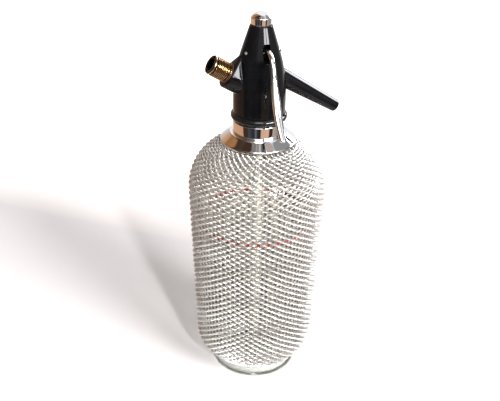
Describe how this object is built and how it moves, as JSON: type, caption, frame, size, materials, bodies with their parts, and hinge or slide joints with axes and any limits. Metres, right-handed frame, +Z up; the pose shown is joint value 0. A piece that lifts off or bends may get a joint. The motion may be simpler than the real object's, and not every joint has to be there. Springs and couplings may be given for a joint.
{
  "type": "soda siphon",
  "caption": "Glass bottle in a woven wire sleeve, closed by a screwed black head with a drooping spout, a thumb lever that opens its valve and a threaded charging nipple.",
  "frame": {"origin": "centre of the ring face under the glass foot, on which the siphon stands", "axes": "+Z up along the bottle's axis, -Y towards the lever, +X towards the spout, -X towards the charging nipple"},
  "size_m": [0.1261, 0.1146, 0.32],
  "materials": {
    "glass": "clear, slightly green in the thick foot, polished",
    "red_print": "a thin printed band",
    "sleeve_wire": "drawn bright wire, slightly dulled",
    "ring_wire": "drawn bright wire",
    "skirt_chrome": "chromed spun sheet",
    "split_ring": "plain moulded",
    "chrome": "bright chrome plate",
    "rubber": "plain black rubber",
    "red_rubber": "plain red rubber",
    "cream_plastic": "plain moulded, slightly clear",
    "black_ring": "glossy black moulding",
    "black_head": "glossy black stoved enamel",
    "brass_inner": "turned brass",
    "brass": "turned brass, slightly worn",
    "black_moulding": "black moulded plastic",
    "brown_fibre": "pressed fibre",
    "steel": "turned steel"
  },
  "bodies": {
    "bottle": {"glass_bottle": "glass", "fill_line": "red_print", "wire_mesh": "sleeve_wire", "mesh_top_ring": "ring_wire", "mesh_bottom_ring": "ring_wire", "neck_skirt": "skirt_chrome", "neck_split_ring": "split_ring", "neck_collar": "chrome"},
    "tube": {"bottle_gasket": "rubber", "dip_tube": "cream_plastic", "dip_tube_flange": "cream_plastic"},
    "ring": {"head_base_ring": "black_ring"},
    "head": {"head_shell": "black_head", "valve_body": "brass_inner", "dip_tube_seal": "rubber", "spout_tube": "black_head", "spout_seal": "rubber", "gas_nipple": "brass", "nipple_washer": "brown_fibre", "piercing_pin": "steel", "inlet_gasket": "rubber", "check_valve_sleeve": "red_rubber", "gland_nut": "brass_inner", "stem_seal": "rubber", "valve_spring": "steel", "lever_pin": "steel", "cap_gasket": "rubber", "top_cap": "chrome"},
    "lever": {"lever": "chrome"},
    "plunger": {"valve_plunger": "black_moulding", "valve_washer": "rubber"}
  },
  "joints": [
    {"name": "head_lift", "type": "slide", "parent": "bottle", "child": "tube", "axis": [0, 0, 1], "range_m": [0, 0.24]},
    {"name": "thread_rise", "type": "slide", "parent": "tube", "child": "ring", "axis": [0, 0, 1], "range_m": [0, 0.0075]},
    {"name": "head_turn", "type": "hinge", "parent": "ring", "child": "head", "pos_m": [0, 0, 0.25], "axis": [0, 0, 1], "range_deg": [0, 900]},
    {"name": "lever_press", "type": "hinge", "parent": "head", "child": "lever", "pos_m": [0, -0.0057, 0.28962], "axis": [1, 0, 0], "range_deg": [0, 12], "stiffness_Nm_per_rad": 0.07, "springref_deg": -114.59},
    {"name": "valve_lift", "type": "slide", "parent": "head", "child": "plunger", "axis": [0, 0, 1], "range_m": [0, 0.0012], "deforming": ["valve_spring"]}
  ],
  "couplings": [
    {"joint": "thread_rise", "follows": "head_turn", "m_per_rad": 0.00047746},
    {"joint": "valve_lift", "follows": "lever_press", "m_per_rad": 0.0057}
  ]
}
